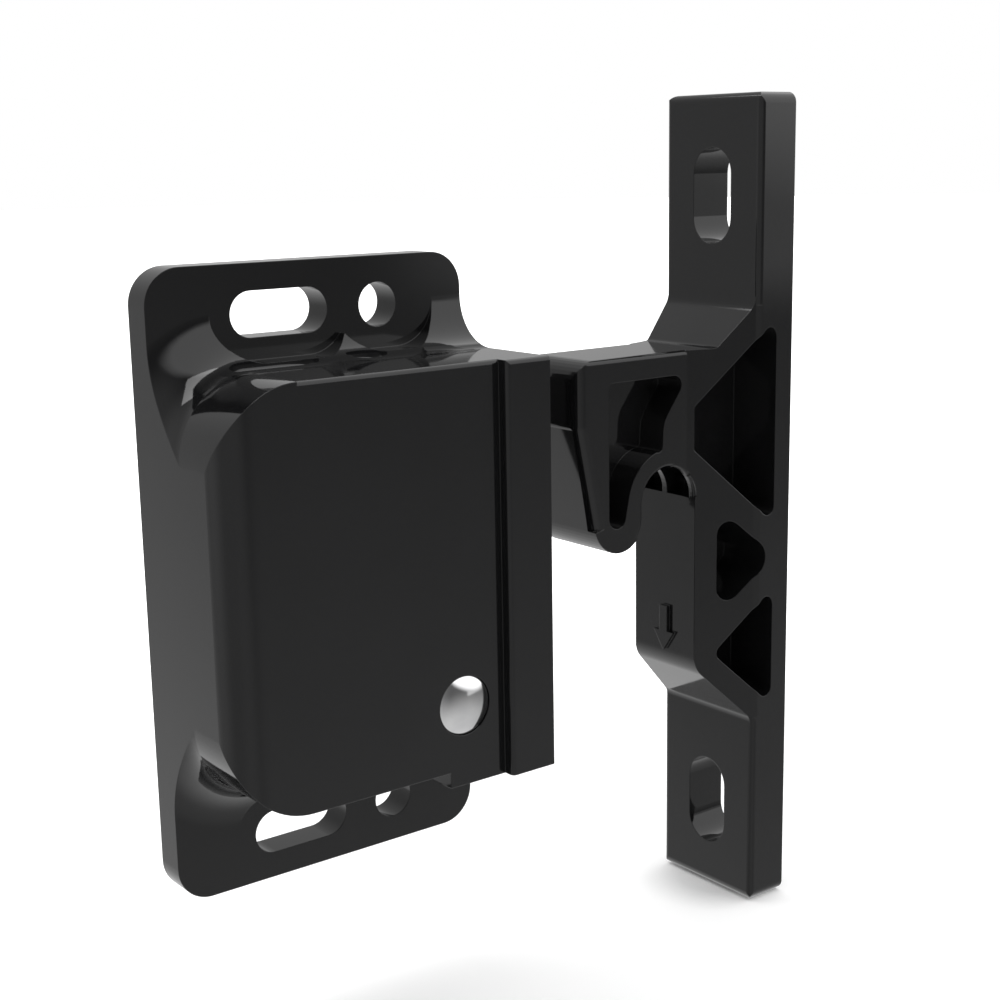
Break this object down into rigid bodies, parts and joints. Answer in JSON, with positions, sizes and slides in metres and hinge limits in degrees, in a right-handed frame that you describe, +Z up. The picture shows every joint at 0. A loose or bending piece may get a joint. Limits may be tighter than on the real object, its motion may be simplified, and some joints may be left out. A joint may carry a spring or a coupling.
{
  "type": "push-to-close latch",
  "caption": "Push-to-close cabinet latch: a plastic case with a spring-loaded pivoting jaw that grips a slotted keeper with a hook.",
  "frame": {"origin": "on the case's mounting face, midway between its two round screw holes", "axes": "+X out of the case's mouth towards the keeper, +Y out of the case's mounting face into the panel behind it, +Z up along the keeper"},
  "size_m": [0.0695, 0.0175, 0.0898],
  "materials": {
    "black_plastic": "smooth glossy black moulding",
    "dark_plastic": "satin black moulding",
    "polished_steel": "polished steel",
    "zinc_steel": "zinc-plated steel",
    "bronze": "sintered bronze bush"
  },
  "bodies": {
    "case": {"case": "black_plastic", "back_cover": "dark_plastic", "cover_screws": "zinc_steel", "pivot_pin": "polished_steel", "pin_clip": "zinc_steel", "front_washer": "zinc_steel", "rear_washer": "zinc_steel"},
    "jaw": {"jaw": "dark_plastic", "jaw_bush": "bronze", "crank_pin": "polished_steel"},
    "spring_guide": {"spring_guide": "zinc_steel", "spring": "polished_steel"},
    "spring_seat": {"spring_seat": "zinc_steel", "spring_washer": "zinc_steel"},
    "keeper": {"keeper": "black_plastic"}
  },
  "joints": [
    {"name": "keeper_slide", "type": "slide", "parent": "case", "child": "keeper", "axis": [1, 0, 0], "range_m": [-0.022, 0]},
    {"name": "jaw_pivot", "type": "hinge", "parent": "case", "child": "jaw", "pos_m": [0, -0.00875, -0.01215], "axis": [0, 1, 0], "range_deg": [-28, 0]},
    {"name": "guide_pivot", "type": "hinge", "parent": "jaw", "child": "spring_guide", "pos_m": [-0.00387, -0.00875, -0.00573], "axis": [0, 1, 0], "range_deg": [0, 39.43]},
    {"name": "seat_pivot", "type": "hinge", "parent": "case", "child": "spring_seat", "pos_m": [-0.018, -0.00875, 0.0058], "axis": [0, 1, 0], "range_deg": [0, 11.43]}
  ],
  "couplings": [
    {"joint": "jaw_pivot", "follows": "keeper_slide", "rad_per_m": 22.213},
    {"joint": "guide_pivot", "follows": "keeper_slide", "rad_per_m": -31.274},
    {"joint": "seat_pivot", "follows": "keeper_slide", "rad_per_m": -9.0612}
  ]
}
